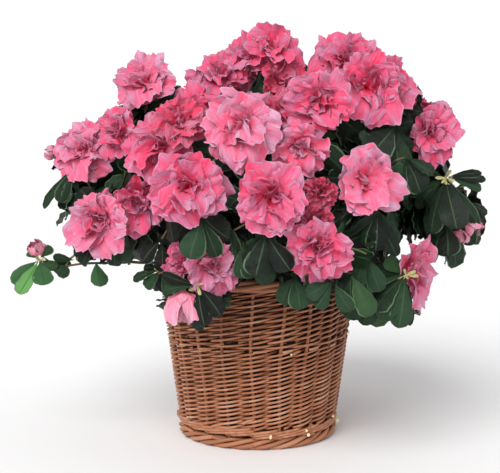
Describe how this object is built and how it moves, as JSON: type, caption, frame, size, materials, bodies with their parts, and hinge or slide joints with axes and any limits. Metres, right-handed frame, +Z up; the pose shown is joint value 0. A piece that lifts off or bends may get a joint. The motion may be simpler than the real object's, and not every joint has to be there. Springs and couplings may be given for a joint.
{
  "type": "potted azalea shrub",
  "caption": "Pink double-flowered azalea shrub, growing from potting soil in a round tapered wicker basket.",
  "frame": {"origin": "middle of the basket's flat underside, on the surface it stands on", "axes": "+Z up, -Y towards the shrub's front, +X to its right, seen from the front, along the widest spread of the crown"},
  "size_m": [0.3768, 0.3161, 0.3261],
  "materials": {
    "willow": "satin",
    "potting_soil": "matte",
    "bark": "matte",
    "blossom": "matte",
    "foliage": "satin"
  },
  "bodies": {
    "root": {"basket_base": "willow", "basket_foot_border": "willow", "basket_lower_weave": "willow", "basket_rim_border": "willow", "basket_upper_weave": "willow", "basket_waist_band": "willow", "bough_back_cheek_left": "bark", "bough_back_cheek_right": "bark", "bough_back_peak_left": "bark", "bough_back_peak_right": "bark", "bough_brow_front": "bark", "bough_brow_left": "bark", "bough_brow_right": "bark", "bough_cheek_front": "bark", "bough_cheek_left": "bark", "bough_cheek_right": "bark", "bough_head_left": "bark", "bough_peak": "bark", "bough_peak_right": "bark", "bough_shoot_left": "bark", "bough_shoulder_left": "bark", "bough_shoulder_right": "bark", "mass_back_cheek_left": "blossom", "mass_back_cheek_right": "blossom", "mass_back_chin": "blossom", "mass_back_chin_left": "blossom", "mass_back_chin_right": "blossom", "mass_back_peak": "blossom", "mass_back_peak_left": "blossom", "mass_back_peak_right": "blossom", "mass_back_shoulder_left": "blossom", "mass_back_shoulder_right": "blossom", "mass_brow_front": "blossom", "mass_brow_left": "blossom", "mass_brow_right": "blossom", "mass_cheek_front": "blossom", "mass_cheek_left": "blossom", "mass_cheek_right": "blossom", "mass_chin_front": "foliage", "mass_chin_left": "blossom", "mass_chin_right": "blossom", "mass_crown_left": "blossom", "mass_fan_right": "foliage", "mass_head_left": "blossom", "mass_head_right": "blossom", "mass_peak": "blossom", "mass_peak_left": "blossom", "mass_peak_right": "blossom", "mass_shoot_left": "foliage", "mass_shoulder_left": "blossom", "mass_shoulder_right": "blossom", "mass_side_left": "foliage", "mass_side_right": "blossom", "mass_spray_left": "blossom", "mass_spray_right": "foliage", "potting_soil": "potting_soil", "trunk": "bark"}
  },
  "joints": []
}
